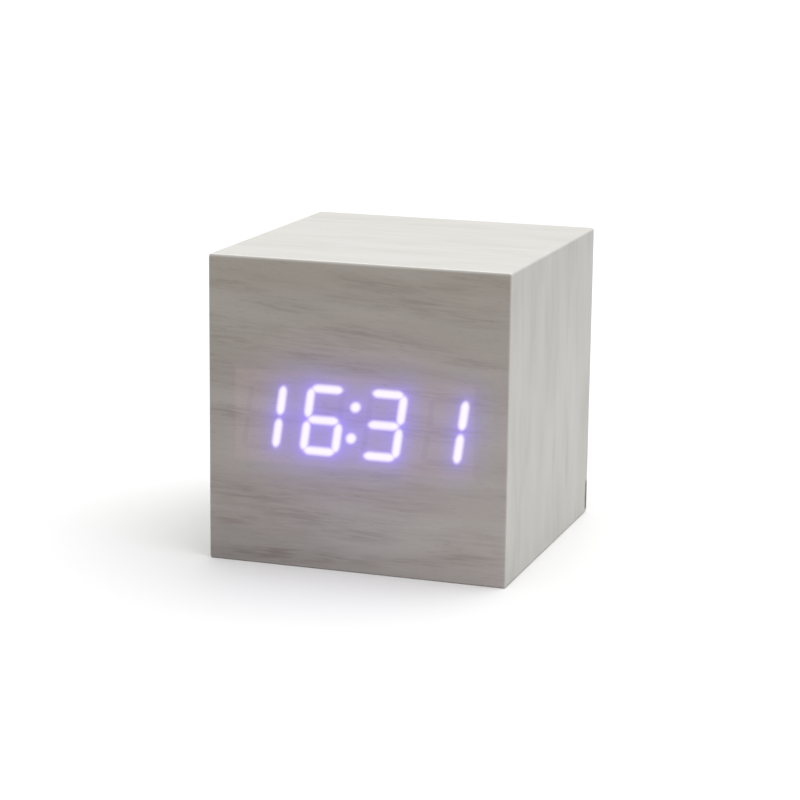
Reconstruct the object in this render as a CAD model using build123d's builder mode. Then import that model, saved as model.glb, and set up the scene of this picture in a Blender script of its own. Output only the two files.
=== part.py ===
from build123d import *
import os
from math import radians, tan

# Wooden cube alarm clock: a case of veneered boards, a lit display that shines through the front veneer,
# and a moulded rear cover that carries the battery bay, the main board and the controls.
# Millimetres, +Z up. The origin is the centre of the base, and the front looks towards -Y.

# Shared by all pieces
cut_overrun = 1.0            # how far a cut passes the face that it opens
thread_play = 0.03           # between a screw and its pilot hole
screw_play = 0.2             # between a screw and a hole that it only passes through

# Case
veneer_thickness = 0.4
board_thickness = 4.5
fold_radius = 0.6            # outside radius of the veneer where it folds round the long edges
front_round_share = 0.75     # share of the veneer's thickness that is rounded at the front edges
glue_block_side = 7.0
glue_block_length = 12.0

# Display module: four leaning seven-segment digits about 14 mm high
shown_time = "1631"
column_pitch = 6.75          # between the centre lines of a digit's left and right segments
row_pitch = 6.4              # between the centre lines of its upper, middle and lower segments
digit_gap = 5.95             # from one digit's right centre line to the next digit's left one
stroke_width = 1.5
segment_gap = 0.4            # from a segment's tip to the corner where two centre lines cross
slant = 8.0                  # degrees
colon_diameter = 1.9
module_end_trim = 0.5        # the module is this much shorter than its digit pitches
module_rim = 2.35            # above and below the digits
module_depth = 8.0
module_base_thickness = 1.0
window_gap = 0.35            # round the module in the front board's window
display_side_gap = 1.45      # between the module's ends and the side boards
display_shift = -0.7         # of the display's centre from the face's centre, along X
display_drop = 0.65          # of the display's centre below the face's centre
led_length = 1.4
led_width = 0.8
led_height = 0.6
pins_per_row = 6
pin_pitch = 2.54
pin_side = 0.5
pin_play = 0.15
pin_inset = 1.88             # of the pin rows from the module's long edges
pin_reach = 1.5              # of the pins past the display board

# Circuit boards and what is soldered to them
circuit_board_thickness = 1.6
board_edge = 0.8             # board left beyond the outermost thing that it carries
part_gap = 0.8               # between neighbours on a board
spacer_diameter = 4.0        # across the corners of the six-sided spacers
spacer_inset = 3.0           # of the spacers' centres from the display board's ends
spacer_gap = 0.65            # between the spacers and the front board's window
ribbon_width = 7.6
ribbon_thickness = 0.9
bend_share = 0.45            # share of a cable's rise that each of its two bends takes as its radius
header_side = 1.0            # of a header past the ribbon at each side
header_height = 4.0
header_depth = 5.0
clock_chip_length = 8.7
driver_chip_length = 9.9
chip_width = 3.9
chip_height = 1.5
chip_leg_pitch = 1.27
chip_leg_width = 0.42
chip_leg_thickness = 0.2
chip_leg_reach = 1.0
crystal_diameter = 2.0
crystal_length = 6.0
buzzer_diameter = 9.0
buzzer_height = 4.2
buzzer_hole_share = 0.2      # share of the buzzer's diameter
microphone_diameter = 4.5
microphone_height = 2.2
sensor_diameter = 2.0
sensor_gap = 0.5             # between the temperature sensor and the cover
sound_hole_diameter = 1.6    # in the cover, over the microphone and the sensor

# Screws
small_screw_diameter = 2.0
small_head_diameter = 3.6
small_head_height = 1.3
small_screw_bite = 3.0
cover_screw_diameter = 2.5
cover_head_diameter = 4.4
cover_head_height = 1.4
cover_screw_bite = 8.0
cover_head_gap = 0.2         # round and over a cover screw's head
recess_length_share = 0.6    # the cross recess, of the head's diameter
recess_width_share = 0.14
recess_depth_share = 0.6     # of the head's height

# Three AAA cells and their contacts
cell_count = 3
cell_diameter = 10.5
cell_length = 44.5
cell_nub_diameter = 3.8
cell_nub_height = 1.0
cell_edge_bevel = 0.5
cell_gap = 0.4               # between cells, and between a cell and the bay
cell_play = 0.1              # between a cell and its cradle
contact_thickness = 0.3
contact_width = 6.0
contact_margin = 0.5         # of a contact plate past its leaf spring
leaf_span_share = 0.76       # of the cell's diameter
leaf_bow = 3.5
solder_tab_width = 3.0
solder_tab_reach = 2.0       # past the bay's floor
solder_tab_play = 0.1
lead_diameter = 1.2
lead_side_count = 8          # flats that stand in for the thin wire's round section
lead_stub_length = 9.0       # from a solder tab to the corner of the lead's first bend
lead_bend = 4.0
lead_pad_inset = 2.0         # of the leads' solder pads from the main board's edges

# Rear cover
cover_thickness = 2.4
cover_recess = 1.2           # of the cover's face from the case's rear edge
cover_gap = 0.2
cover_corner_radius = 0.8
cover_bevel = 0.3            # of the cover's and the door's outer edges
cover_foot = 2.0             # least height of cover below the battery bay
cover_hook_width = 8.0       # hooks at the lower edge, which sit in the bottom board
cover_hook_thickness = 1.6
cover_hook_drop = 2.0
cover_hook_share = 0.55      # share of the cover's half width
bay_wall = 1.2
bay_side_gap = 0.6           # between the bay and the side boards
cradle_width = 1.2
cradle_height_share = 0.7    # share of the cell's radius
cradle_place_share = 0.5     # share of the bay's half length
boss_diameter = 5.0
row_gap = 1.1                # round the two rows of controls above the bay

# Battery door
door_thickness = 1.4
door_gap = 0.2
door_seat_gap = 0.1          # between the closed door and the ledge behind it
door_ledge = 0.8
doorway_margin = 1.05        # of the doorway past each end of a cell
hinge_pin_share = 0.7        # share of the door's thickness
hinge_pin_length = 1.2
hinge_play = 0.05
hinge_end_gap = 0.2
door_rib_width = 1.2
door_rib_height = 0.5
door_rib_shares = (-0.6, 0.0, 0.6)   # places along the door's half length
detent_length = 10.0
detent_height = 0.12
detent_width_share = 0.5     # share of the door's thickness
grip_count = 4               # grooves for a fingertip, below the door's upper edge
grip_length = 14.0
grip_pitch = 1.4
grip_width = 0.7
grip_depth = 0.3
grip_inset = 1.6             # of the first groove from the door's upper edge
notch_width = 12.0           # finger notch over the door's upper edge
notch_rise = 1.4
notch_depth = 1.0

# Push buttons and their switches
button_pitch = 9.0
cap_diameter = 4.2
cap_gap = 0.15
cap_rise = 0.9               # of a button past the cover
cap_bevel = 0.3
flange_overlap = 0.6
flange_thickness = 0.8
flange_gap = 0.1
press_travel = 0.5
push_switch_side = 6.0
push_switch_height = 3.5
plunger_diameter = 3.4
plunger_play = 0.05
plunger_rise = 0.8           # of a plunger above its switch
plunger_root = 1.0           # of a plunger inside its switch
plunger_end_gap = 0.2

# Sound switch
sound_switch_length = 8.6
sound_switch_width = 3.6
sound_switch_height = 3.6
knob_length = 2.4
knob_width = 1.8
knob_root = 1.2
knob_rise = 0.9
knob_gap = 0.2
knob_travel = 2.0
knob_groove_share = 0.2      # width of the knob's finger groove, of its length

# Power socket
socket_width = 7.5
socket_height = 2.9
socket_wall = 0.3
socket_back = 1.2
socket_corner_share = 0.3    # share of the height that the lower corners slope off
socket_gap = 0.3
socket_mouth_recess = 0.3
tongue_width = 3.7
tongue_height = 0.7
tongue_length = 3.2

# Widths that the contents need, from which the cube gets its side
digit_count = len(shown_time)
digit_pitch = column_pitch + digit_gap
module_width = digit_count * digit_pitch - module_end_trim
module_height = 2 * row_pitch + stroke_width + 2 * module_rim
bay_length = cell_length + leaf_bow + 2 * contact_thickness
bay_outer_length = bay_length + 2 * bay_wall
bay_height = cell_count * cell_diameter + (cell_count + 1) * cell_gap
bay_outer_height = bay_height + 2 * bay_wall
lower_row_height = max(socket_height + 2 * socket_gap, sound_switch_width, microphone_diameter)
lower_row_width = socket_width + microphone_diameter + sound_switch_length + 2 * part_gap
upper_row_width = 2 * button_pitch + push_switch_side
strip_height = push_switch_side + lower_row_height + 3 * row_gap
boss_x = max(upper_row_width, lower_row_width) / 2 + part_gap + boss_diameter / 2
main_board_width = 2 * boss_x + boss_diameter + 2 * board_edge
cavity_side = max(
    module_width + 2 * display_side_gap,
    bay_outer_length + 2 * bay_side_gap,
    cover_foot + bay_outer_height + strip_height + 2 * cover_gap,
    main_board_width + 2 * part_gap + 2 * glue_block_side,
)
core_side = cavity_side + 2 * board_thickness
case_side = core_side + 2 * veneer_thickness

# Levels of the case
middle_z = case_side / 2
rear_y = case_side / 2
core_front_y = veneer_thickness - case_side / 2
front_board_rear_y = core_front_y + board_thickness
cavity_top_z = middle_z + cavity_side / 2
cavity_bottom_z = middle_z - cavity_side / 2

# Levels of the display
display_z = middle_z - display_drop
module_base_y = core_front_y + module_depth - module_base_thickness
display_board_y = core_front_y + module_depth
display_board_rear_y = display_board_y + circuit_board_thickness
spacer_x = module_width / 2 - spacer_inset
spacer_z = module_height / 2 + window_gap + spacer_gap + spacer_diameter / 2
display_board_height = 2 * spacer_z + spacer_diameter + 2 * board_edge
header_width = ribbon_width + 2 * header_side
header_x = header_width / 2 + part_gap

# Levels of the rear cover
cover_side = cavity_side - 2 * cover_gap
cover_rear_y = rear_y - cover_recess
cover_front_y = cover_rear_y - cover_thickness
cover_top_z = cavity_top_z - cover_gap
cover_bottom_z = cavity_bottom_z + cover_gap
strip_bottom_z = cover_top_z - strip_height
bay_top_z = strip_bottom_z - bay_wall
bay_bottom_z = bay_top_z - bay_height
bay_middle_z = (bay_top_z + bay_bottom_z) / 2
door_inner_y = cover_rear_y - door_thickness
cell_y = door_inner_y - door_rib_height - cell_gap - cell_diameter / 2
cell_heights = [
    bay_bottom_z + cell_gap + cell_diameter / 2 + index * (cell_diameter + cell_gap)
    for index in range(cell_count)
]
bay_floor_y = cell_y - cell_diameter / 2 - cell_gap
bay_depth = cover_front_y - bay_floor_y
solder_tab_y = bay_floor_y - bay_wall - solder_tab_reach
glue_block_x = cavity_side / 2 - glue_block_side / 2
glue_block_z = cavity_top_z - glue_block_side / 2
cover_screw_places = [(-glue_block_x, glue_block_z), (glue_block_x, glue_block_z)]
cover_seat_y = cover_rear_y - cover_head_height - cover_head_gap
cover_hook_x = cover_hook_share * cover_side / 2
cover_hook_y = cover_front_y + cover_hook_thickness / 2

# Levels of the door and its hinge
doorway_length = cell_length + 2 * doorway_margin
rebate_length = doorway_length + 2 * door_ledge
rebate_height = bay_height + 2 * door_ledge
rebate_bottom_z = bay_bottom_z - door_ledge
rebate_top_z = bay_top_z + door_ledge
door_length = rebate_length - 2 * door_gap
door_top_z = rebate_top_z - door_gap
hinge_y = cover_rear_y - door_thickness / 2
hinge_z = rebate_bottom_z + door_gap + door_thickness / 2
hinge_pin_radius = hinge_pin_share * door_thickness / 2

# Places on the main board
cap_inner_y = cover_front_y - flange_gap - flange_thickness
push_switch_y = cap_inner_y - plunger_rise
main_board_rear_y = push_switch_y - push_switch_height
main_board_y = main_board_rear_y - circuit_board_thickness
main_board_top_z = cover_top_z - row_gap / 2
main_board_bottom_z = strip_bottom_z + row_gap / 2
main_board_middle_z = (main_board_top_z + main_board_bottom_z) / 2
upper_row_z = cover_top_z - row_gap - push_switch_side / 2
lower_row_z = strip_bottom_z + row_gap + lower_row_height / 2
button_places = {
    "set": (button_pitch, upper_row_z),
    "up": (0, upper_row_z),
    "down": (-button_pitch, upper_row_z),
}
boss_places = [(-boss_x, main_board_middle_z), (boss_x, main_board_middle_z)]
socket_place = ((socket_width - lower_row_width) / 2, lower_row_z)
microphone_x = socket_place[0] + (socket_width + microphone_diameter) / 2 + part_gap
microphone_place = (microphone_x, lower_row_z)
sound_switch_place = ((lower_row_width - sound_switch_length) / 2, lower_row_z)
knob_place = (sound_switch_place[0] - knob_travel / 2, lower_row_z)
sensor_place = (boss_x, main_board_top_z - board_edge - sensor_diameter / 2)
sound_hole_places = [microphone_place, sensor_place]
main_header_z = main_board_bottom_z + board_edge + header_height / 2
clock_chip_x = clock_chip_length / 2 + part_gap
clock_chip_z = main_header_z + header_height / 2 + part_gap + chip_leg_reach + chip_width / 2
crystal_start_x = clock_chip_x + clock_chip_length / 2 + part_gap
crystal_z = main_board_top_z - board_edge - crystal_diameter / 2
buzzer_x = -buzzer_diameter / 2 - part_gap
lead_pad_x = main_board_width / 2 - lead_pad_inset
lead_pad_z = main_board_bottom_z + lead_pad_inset


# A plane across the clock at the depth y, drawn on as seen from the front: X to the right, Z up.
# Extruding by a positive amount goes towards the front.
def at_depth(y):
    return Plane.XZ.offset(-y)


# A plane square to X at the place x, drawn on with Y to the right and Z up
def across_at(x):
    return Plane.YZ.offset(x)


# Veneer of the case: one strip folded round the four long sides
with BuildPart() as case_veneer:
    with BuildSketch(at_depth(rear_y)):
        with Locations((0, middle_z)):
            RectangleRounded(case_side, case_side, fold_radius)
            Rectangle(core_side, core_side, mode=Mode.SUBTRACT)
    extrude(amount=case_side - veneer_thickness)

# Veneer of the front, with its edges rubbed round
with BuildPart() as front_veneer:
    with BuildSketch(at_depth(core_front_y)):
        with Locations((0, middle_z)):
            RectangleRounded(case_side, case_side, fold_radius)
    extrude(amount=veneer_thickness)
    front_face = front_veneer.faces().sort_by(Axis.Y)[0]
    fillet(front_face.edges(), radius=front_round_share * veneer_thickness)


# One long side of the case, mitred to its neighbours and to the front board
def case_board(turn):
    board_plane = Plane(
        origin=(0, rear_y, middle_z),
        x_dir=Vector(1, 0, 0).rotate(Axis.Y, turn),
        z_dir=(0, -1, 0),
    )
    outward = board_plane.y_dir
    front_mitre = Plane(
        origin=Vector(0, core_front_y, middle_z) + outward * (core_side / 2),
        z_dir=outward + Vector(0, 1, 0),
    )
    with BuildPart() as board:
        with BuildSketch(board_plane):
            with BuildLine():
                Polyline(
                    (-core_side / 2, core_side / 2),
                    (-cavity_side / 2, cavity_side / 2),
                    (cavity_side / 2, cavity_side / 2),
                    (core_side / 2, core_side / 2),
                    close=True,
                )
            make_face()
        extrude(amount=rear_y - core_front_y)
        split(bisect_by=front_mitre, keep=Keep.TOP)
    return board


top_board = case_board(0)
right_board = case_board(90)
left_board = case_board(270)

# The bottom board has two pockets for the rear cover's hooks
with BuildPart() as bottom_board:
    add(case_board(180).part)
    with BuildSketch(Plane.XY.offset(cavity_bottom_z)):
        with Locations((-cover_hook_x, cover_hook_y), (cover_hook_x, cover_hook_y)):
            Rectangle(cover_hook_width + 2 * cover_gap, cover_hook_thickness + 2 * cover_gap)
    extrude(amount=-cover_hook_drop, mode=Mode.SUBTRACT)

# Front board, mitred all round, with the display window and pilot holes for the display's screws
spacer_places = [
    (display_shift + side * spacer_x, display_z + level * spacer_z)
    for side in (-1, 1)
    for level in (-1, 1)
]
with BuildPart() as front_board:
    with BuildSketch(at_depth(core_front_y)):
        with Locations((0, middle_z)):
            Rectangle(core_side, core_side)
    with BuildSketch(at_depth(front_board_rear_y)):
        with Locations((0, middle_z)):
            Rectangle(cavity_side, cavity_side)
    loft(ruled=True)
    with BuildSketch(at_depth(front_board_rear_y + cut_overrun)):
        with Locations((display_shift, display_z)):
            Rectangle(module_width + 2 * window_gap, module_height + 2 * window_gap)
    extrude(amount=board_thickness + 2 * cut_overrun, mode=Mode.SUBTRACT)
    with BuildSketch(at_depth(front_board_rear_y)):
        with Locations(*spacer_places):
            Circle(small_screw_diameter / 2 + thread_play)
    extrude(amount=small_screw_bite, mode=Mode.SUBTRACT)

# Glue blocks in the upper rear corners
with BuildPart() as glue_blocks:
    with BuildSketch(at_depth(cover_front_y)):
        with Locations(*cover_screw_places):
            Rectangle(glue_block_side, glue_block_side)
            Circle(cover_screw_diameter / 2 + thread_play, mode=Mode.SUBTRACT)
    extrude(amount=glue_block_length)

# Segments of a digit: the place of each one's middle, in column and row pitches
segment_shares = {
    "a": (0, 1),
    "b": (0.5, 0.5),
    "c": (0.5, -0.5),
    "d": (0, -1),
    "e": (-0.5, -0.5),
    "f": (-0.5, 0.5),
    "g": (0, 0),
}
flat_segments = "adg"
lit_segments_of = {
    "0": "abcdef",
    "1": "bc",
    "2": "abdeg",
    "3": "abcdg",
    "4": "bcfg",
    "5": "acdfg",
    "6": "acdefg",
    "7": "abc",
    "8": "abcdefg",
    "9": "abcdfg",
}
digit_places = [
    (display_shift + (index - (digit_count - 1) / 2) * digit_pitch, display_z)
    for index in range(digit_count)
]


# A point of an upright digit, moved to where the lean puts it
def lean(x, z):
    return (x + z * tan(radians(slant)), z)


def segment_middle(letter):
    column_share, row_share = segment_shares[letter]
    return (column_share * column_pitch, row_share * row_pitch)


# Corners of one segment, a bar with pointed ends
def segment_outline(letter):
    middle_x, segment_z = segment_middle(letter)
    half_stroke = stroke_width / 2
    flat = letter in flat_segments
    tip = (column_pitch if flat else row_pitch) / 2 - segment_gap
    shoulder = tip - half_stroke
    corners = [
        (-tip, 0),
        (-shoulder, -half_stroke),
        (shoulder, -half_stroke),
        (tip, 0),
        (shoulder, half_stroke),
        (-shoulder, half_stroke),
    ]
    if not flat:
        corners = [(-across, along) for along, across in corners]
    return [lean(middle_x + x, segment_z + z) for x, z in corners]


# Draws segments of every digit in the open sketch: the lit ones, or those that stay dark
def draw_segments(lit):
    for place, figure in zip(digit_places, shown_time):
        with Locations(place):
            for letter in segment_shares:
                if (letter in lit_segments_of[figure]) == lit:
                    Polygon(*segment_outline(letter), align=None)


colon_places = [
    (display_shift + x, display_z + z)
    for x, z in (lean(0, row_pitch / 2), lean(0, -row_pitch / 2))
]
segment_depth = module_depth - module_base_thickness - led_height

# Display housing: a white block with a light well for each segment
with BuildPart() as display_housing:
    with BuildSketch(at_depth(module_base_y)):
        with Locations((display_shift, display_z)):
            Rectangle(module_width, module_height)
    extrude(amount=module_base_y - core_front_y)
    with BuildSketch(at_depth(module_base_y)):
        draw_segments(lit=True)
        draw_segments(lit=False)
        with Locations(*colon_places):
            Circle(colon_diameter / 2)
    extrude(amount=module_base_y - core_front_y, mode=Mode.SUBTRACT)

# Clear resin that fills the light wells
with BuildPart() as lit_segments:
    with BuildSketch(at_depth(core_front_y)):
        draw_segments(lit=True)
    extrude(amount=-segment_depth)

with BuildPart() as unlit_segments:
    with BuildSketch(at_depth(core_front_y)):
        draw_segments(lit=False)
    extrude(amount=-segment_depth)

with BuildPart() as colon_dots:
    with BuildSketch(at_depth(core_front_y)):
        with Locations(*colon_places):
            Circle(colon_diameter / 2)
    extrude(amount=-segment_depth)

# One light-emitting chip at the foot of each well
with BuildPart() as led_chips:
    with BuildSketch(at_depth(module_base_y)):
        for place in digit_places:
            with Locations(place):
                for letter in segment_shares:
                    with Locations(lean(*segment_middle(letter))):
                        led_turn = 0 if letter in flat_segments else 90 - slant
                        Rectangle(led_length, led_width, rotation=led_turn)
        with Locations(*colon_places):
            Rectangle(led_width, led_width)
    extrude(amount=led_height)

# The module's own base, and the pins that join it to the display board
with BuildPart() as module_base:
    with BuildSketch(at_depth(display_board_y)):
        with Locations((display_shift, display_z)):
            Rectangle(module_width, module_height)
    extrude(amount=module_base_thickness)

pin_row_pitch = module_height - 2 * pin_inset
with BuildPart() as display_pins:
    with BuildSketch(at_depth(display_board_y)):
        with Locations((display_shift, display_z)):
            with GridLocations(pin_pitch, pin_row_pitch, pins_per_row, 2):
                Rectangle(pin_side, pin_side)
    extrude(amount=-circuit_board_thickness - pin_reach)

with BuildPart() as display_board:
    with BuildSketch(at_depth(display_board_rear_y)):
        with Locations((display_shift, display_z)):
            Rectangle(module_width, display_board_height)
            with GridLocations(pin_pitch, pin_row_pitch, pins_per_row, 2):
                Rectangle(pin_side + 2 * pin_play, pin_side + 2 * pin_play, mode=Mode.SUBTRACT)
        with Locations(*spacer_places):
            Circle(small_screw_diameter / 2 + screw_play, mode=Mode.SUBTRACT)
    extrude(amount=circuit_board_thickness)

with BuildPart() as display_spacers:
    with BuildSketch(at_depth(display_board_y)):
        with Locations(*spacer_places):
            RegularPolygon(spacer_diameter / 2, side_count=6)
            Circle(small_screw_diameter / 2 + screw_play, mode=Mode.SUBTRACT)
    extrude(amount=display_board_y - front_board_rear_y)


# Pan-head screws with a cross recess. The shank runs from the seat towards the front, or towards the
# rear where forward is -1.
def screw_set(places, seat_y, forward, reach, diameter, head_diameter, head_height):
    with BuildPart() as screws:
        with BuildSketch(at_depth(seat_y)):
            with Locations(*places):
                Circle(diameter / 2)
        extrude(amount=forward * reach)
        with BuildSketch(at_depth(seat_y)):
            with Locations(*places):
                Circle(head_diameter / 2)
        extrude(amount=-forward * head_height)
        with BuildSketch(at_depth(seat_y + forward * head_height)):
            with Locations(*places):
                Rectangle(recess_length_share * head_diameter, recess_width_share * head_diameter)
                Rectangle(recess_width_share * head_diameter, recess_length_share * head_diameter)
        extrude(amount=forward * recess_depth_share * head_height, mode=Mode.SUBTRACT)
    return screws


display_screws = screw_set(
    spacer_places,
    display_board_rear_y,
    1,
    display_board_rear_y - front_board_rear_y + small_screw_bite,
    small_screw_diameter,
    small_head_diameter,
    small_head_height,
)


# A flat chip with a row of legs along each long side. It stands on the face at the depth seat_y,
# on the side that forward gives.
def flat_chip(place, seat_y, forward, length):
    legs_per_side = int((length - chip_leg_width) / chip_leg_pitch) + 1
    with BuildPart() as chip:
        with BuildSketch(at_depth(seat_y)):
            with Locations(place):
                Rectangle(length, chip_width)
        extrude(amount=forward * chip_height)
        with BuildSketch(at_depth(seat_y)):
            with Locations(place):
                with GridLocations(chip_leg_pitch, chip_width + chip_leg_reach, legs_per_side, 2):
                    Rectangle(chip_leg_width, chip_leg_reach)
        extrude(amount=forward * chip_leg_thickness)
    return chip


driver_chip_place = (-driver_chip_length / 2 - part_gap, display_z)
driver_chip = flat_chip(driver_chip_place, display_board_rear_y, -1, driver_chip_length)


# A header for the ribbon cable, standing on the face at the depth seat_y
def ribbon_header(place, seat_y, forward):
    with BuildPart() as header:
        with BuildSketch(at_depth(seat_y)):
            with Locations(place):
                Rectangle(header_width, header_height)
        extrude(amount=forward * header_depth)
    return header


display_header = ribbon_header((header_x, display_z), display_board_rear_y, -1)
main_header = ribbon_header((header_x, main_header_z), main_board_y, 1)

# Flat cable between the two headers, in one plane
ribbon_start_y = display_board_rear_y + header_depth
ribbon_end_y = main_board_y - header_depth
ribbon_middle_y = (ribbon_start_y + ribbon_end_y) / 2
ribbon_rise = main_header_z - display_z
with BuildPart() as ribbon_cable:
    with BuildLine(across_at(header_x)) as ribbon_path:
        FilletPolyline(
            (ribbon_start_y, display_z),
            (ribbon_middle_y, display_z),
            (ribbon_middle_y, main_header_z),
            (ribbon_end_y, main_header_z),
            radius=bend_share * ribbon_rise,
        )
    with BuildSketch(at_depth(ribbon_start_y)):
        with Locations((header_x, display_z)):
            Rectangle(ribbon_width, ribbon_thickness)
    sweep(path=ribbon_path.wires()[0])

# Rear cover: the panel, the battery bay moulded on its inner side, and the bosses of the main board
with BuildPart() as rear_cover:
    with BuildSketch(at_depth(cover_rear_y)):
        with Locations((0, middle_z)):
            RectangleRounded(cover_side, cover_side, cover_corner_radius)
    extrude(amount=cover_thickness)
    chamfer(rear_cover.faces().sort_by(Axis.Y)[-1].edges(), length=cover_bevel)
    with BuildSketch(at_depth(cover_front_y)):
        with Locations((0, bay_middle_z)):
            Rectangle(bay_outer_length, bay_outer_height)
    extrude(amount=bay_depth + bay_wall)
    with BuildSketch(at_depth(cover_front_y)):
        with Locations((0, bay_middle_z)):
            Rectangle(bay_length, bay_height)
    extrude(amount=bay_depth, mode=Mode.SUBTRACT)
    # doorway, and the rebate in which the door lies flush
    with BuildSketch(at_depth(cover_rear_y)):
        with Locations((0, bay_middle_z)):
            Rectangle(doorway_length, bay_height)
    extrude(amount=cover_thickness, mode=Mode.SUBTRACT)
    with BuildSketch(at_depth(cover_rear_y)):
        with Locations((0, bay_middle_z)):
            Rectangle(rebate_length, rebate_height)
    extrude(amount=door_thickness + door_seat_gap, mode=Mode.SUBTRACT)
    # finger notch: a shallow arc over the door's upper edge
    notch_radius = (notch_width**2 / 4 + notch_rise**2) / (2 * notch_rise)
    with BuildSketch(at_depth(cover_rear_y)):
        with Locations((0, rebate_top_z + notch_rise - notch_radius)):
            Circle(notch_radius)
    extrude(amount=notch_depth, mode=Mode.SUBTRACT)
    # hinge sockets in the rebate's ends
    for side in (-1, 1):
        with BuildSketch(across_at(side * rebate_length / 2)):
            with Locations((hinge_y, hinge_z)):
                Circle(hinge_pin_radius + hinge_play)
        extrude(amount=side * (hinge_pin_length - door_gap + hinge_end_gap), mode=Mode.SUBTRACT)
    # cradle ribs that follow the cells
    for side in (-1, 1):
        with BuildSketch(across_at(side * cradle_place_share * bay_length / 2)):
            with Locations((bay_floor_y, bay_middle_z)):
                cradle_height = cradle_height_share * cell_diameter / 2
                Rectangle(cradle_height, bay_height, align=(Align.MIN, Align.CENTER))
            with Locations(*[(cell_y, height) for height in cell_heights]):
                Circle(cell_diameter / 2 + cell_play, mode=Mode.SUBTRACT)
        extrude(amount=cradle_width / 2, both=True)
    # slots in the bay's floor for the two solder tabs
    solder_tab_x = (bay_length - contact_thickness) / 2
    last_side = 1 if cell_count % 2 else -1
    solder_tab_places = [(-solder_tab_x, cell_heights[0]), (last_side * solder_tab_x, cell_heights[-1])]
    with BuildSketch(at_depth(bay_floor_y)):
        with Locations(*solder_tab_places):
            Rectangle(contact_thickness + 2 * solder_tab_play, solder_tab_width + 2 * solder_tab_play)
    extrude(amount=bay_wall, mode=Mode.SUBTRACT)
    # hooks at the lower edge
    with BuildSketch(Plane.XY.offset(cover_bottom_z)):
        with Locations((-cover_hook_x, cover_hook_y), (cover_hook_x, cover_hook_y)):
            Rectangle(cover_hook_width, cover_hook_thickness)
    extrude(amount=-cover_hook_drop)
    # bosses with pilot holes
    with BuildSketch(at_depth(cover_front_y)):
        with Locations(*boss_places):
            Circle(boss_diameter / 2)
    extrude(amount=cover_front_y - main_board_rear_y)
    with BuildSketch(at_depth(main_board_rear_y)):
        with Locations(*boss_places):
            Circle(small_screw_diameter / 2 + thread_play)
    extrude(amount=-small_screw_bite, mode=Mode.SUBTRACT)
    # openings for the buttons, the knob, the socket, the microphone and the sensor
    with BuildSketch(at_depth(cover_rear_y)):
        with Locations(*button_places.values()):
            Circle(cap_diameter / 2 + cap_gap)
        with Locations(sound_switch_place):
            Rectangle(knob_length + knob_travel + 2 * knob_gap, knob_width + 2 * knob_gap)
        with Locations(socket_place):
            RectangleRounded(
                socket_width + 2 * socket_gap,
                socket_height + 2 * socket_gap,
                socket_gap,
            )
        with Locations(*sound_hole_places):
            Circle(sound_hole_diameter / 2)
        with Locations(*cover_screw_places):
            Circle(cover_screw_diameter / 2 + screw_play)
    extrude(amount=cover_thickness, mode=Mode.SUBTRACT)
    with BuildSketch(at_depth(cover_rear_y)):
        with Locations(*cover_screw_places):
            Circle(cover_head_diameter / 2 + cover_head_gap)
    extrude(amount=cover_head_height + cover_head_gap, mode=Mode.SUBTRACT)

cover_screws = screw_set(
    cover_screw_places,
    cover_seat_y,
    1,
    cover_seat_y - cover_front_y + cover_screw_bite,
    cover_screw_diameter,
    cover_head_diameter,
    cover_head_height,
)

# Battery door: its lower edge is round about the hinge, so that it turns in its rebate
with BuildPart() as battery_door:
    with BuildSketch(across_at(-door_length / 2)):
        with BuildLine():
            Polyline(
                (door_inner_y, hinge_z),
                (door_inner_y, door_top_z),
                (cover_rear_y, door_top_z),
                (cover_rear_y, hinge_z),
            )
            ThreePointArc(
                (cover_rear_y, hinge_z),
                (hinge_y, hinge_z - door_thickness / 2),
                (door_inner_y, hinge_z),
            )
        make_face()
    extrude(amount=door_length)
    door_outer_edges = battery_door.faces().sort_by(Axis.Y)[-1].edges()
    chamfer(door_outer_edges.sort_by(Axis.Z)[1:], length=cover_bevel)
    for side in (-1, 1):
        with BuildSketch(across_at(side * door_length / 2)):
            with Locations((hinge_y, hinge_z)):
                Circle(hinge_pin_radius)
        extrude(amount=side * hinge_pin_length)
    # ribs over the cells
    with BuildSketch(at_depth(door_inner_y)):
        with Locations(*[(share * door_length / 2, bay_middle_z) for share in door_rib_shares]):
            Rectangle(door_rib_width, bay_height - 2 * door_thickness)
    extrude(amount=door_rib_height)
    # fingertip grooves
    grip_middle_z = door_top_z - grip_inset - (grip_count - 1) * grip_pitch / 2
    with BuildSketch(at_depth(cover_rear_y)):
        with Locations((0, grip_middle_z)):
            with GridLocations(0, grip_pitch, 1, grip_count):
                SlotOverall(grip_length, grip_width)
    extrude(amount=grip_depth, mode=Mode.SUBTRACT)
    # detent ridge along the upper edge
    with BuildSketch(across_at(-detent_length / 2)):
        detent_half_width = detent_width_share * door_thickness / 2
        with BuildLine():
            Polyline(
                (hinge_y - detent_half_width, door_top_z),
                (hinge_y + detent_half_width, door_top_z),
                (hinge_y, door_top_z + detent_height),
                close=True,
            )
        make_face()
    extrude(amount=detent_length)

# Cells, each turned end for end to the one below it
with BuildPart() as battery_cells:
    for index, height in enumerate(cell_heights):
        towards = 1 if index % 2 == 0 else -1
        tip_x = towards * (bay_length / 2 - contact_thickness)
        with BuildSketch(across_at(tip_x - towards * cell_length)):
            with Locations((cell_y, height)):
                Circle(cell_diameter / 2)
        extrude(amount=towards * (cell_length - cell_nub_height))
    can_ends = battery_cells.edges().filter_by(GeomType.CIRCLE)
    chamfer(can_ends, length=cell_edge_bevel)
    for index, height in enumerate(cell_heights):
        towards = 1 if index % 2 == 0 else -1
        tip_x = towards * (bay_length / 2 - contact_thickness)
        with BuildSketch(across_at(tip_x - towards * cell_nub_height)):
            with Locations((cell_y, height)):
                Circle(cell_nub_diameter / 2)
        extrude(amount=towards * cell_nub_height)

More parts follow.
